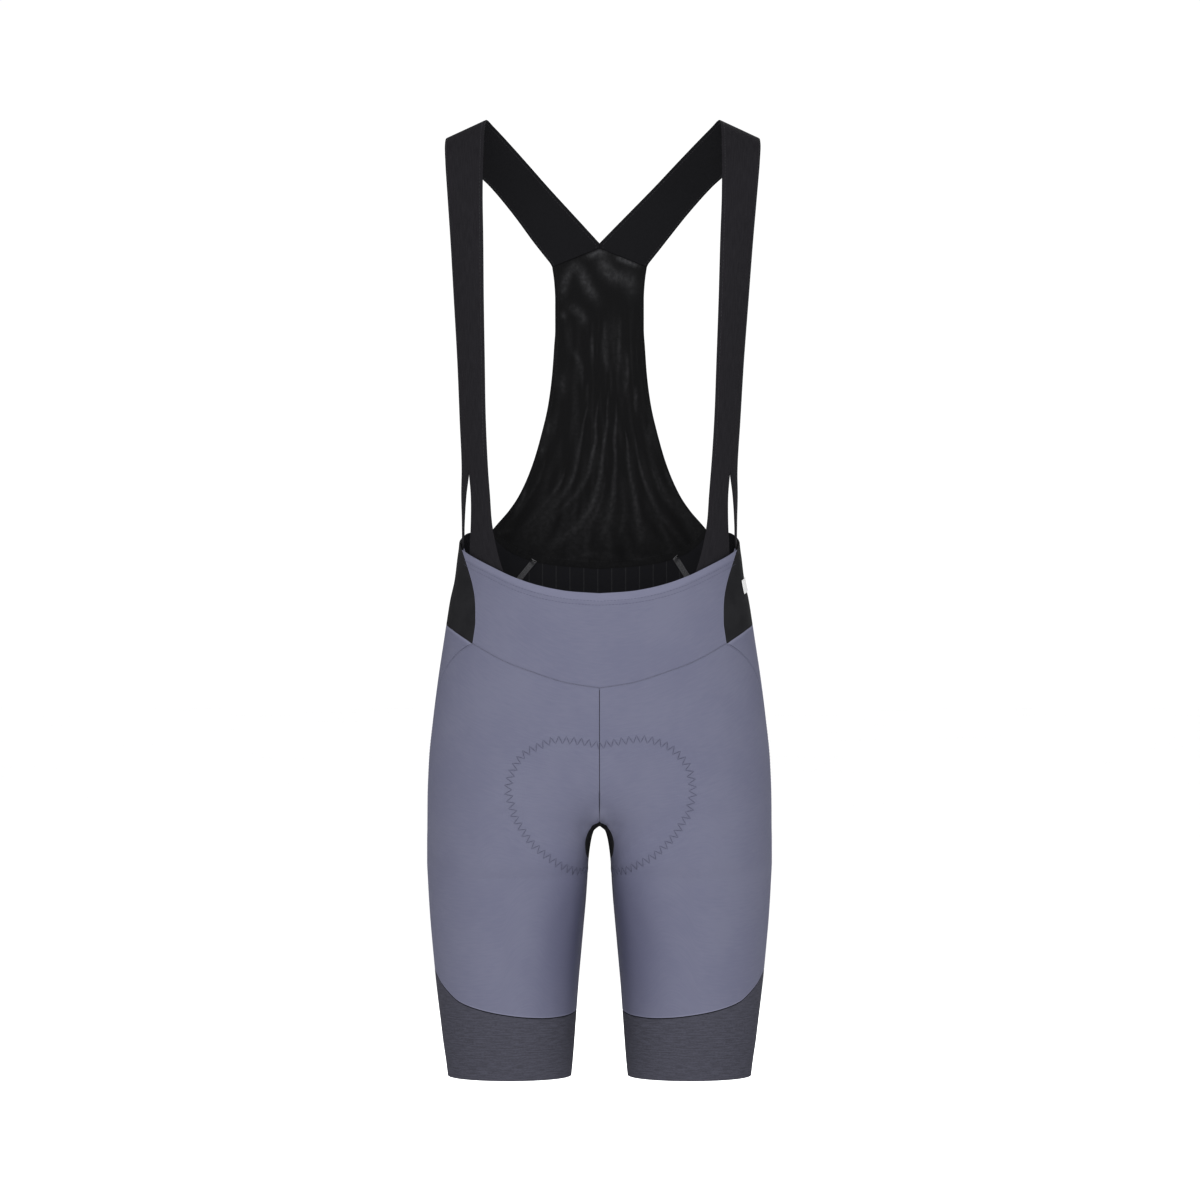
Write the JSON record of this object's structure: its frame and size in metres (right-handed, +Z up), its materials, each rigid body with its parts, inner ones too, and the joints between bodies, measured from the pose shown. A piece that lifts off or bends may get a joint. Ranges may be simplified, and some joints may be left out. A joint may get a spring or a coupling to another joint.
{
  "type": "cycling bib shorts",
  "caption": "Cycling bib shorts in their worn form with no wearer: stretch legs with elastic hems, a dipped waist, wide shoulder straps crossing to a mesh back.",
  "frame": {"origin": "midway between the two shoulder straps at shoulder height, in the plane of the wearer's sides", "axes": "+Z up along the body, +Y towards the wearer's back, +X towards the wearer's left"},
  "size_m": [0.3446, 0.2146, 0.9545],
  "materials": {
    "blue_grey_knit": "smooth matt stretch knit",
    "heather_gripper": "flecked dark grey elastic knit",
    "black_knit": "matt stretch knit",
    "ribbed_knit": "matt knit with thin lighter upright lines",
    "black_mesh": "fine soft mesh",
    "black_elastic": "matt woven elastic",
    "grey_tape": "matt seam tape",
    "white_label": "blank woven label"
  },
  "bodies": {
    "root": {"front_waist_panel": "blue_grey_knit", "leg_front_left": "blue_grey_knit", "leg_front_right": "blue_grey_knit", "leg_back_left": "blue_grey_knit", "leg_back_right": "blue_grey_knit", "gripper_left": "heather_gripper", "gripper_right": "heather_gripper", "side_panel_left": "black_knit", "side_panel_right": "black_knit", "lower_back_panel": "ribbed_knit", "mesh_back_panel": "black_mesh", "crotch_gusset": "black_knit", "strap_left": "black_elastic", "strap_right": "black_elastic", "seam_tape_left": "grey_tape", "seam_tape_right": "grey_tape", "hip_label": "white_label"}
  },
  "joints": []
}
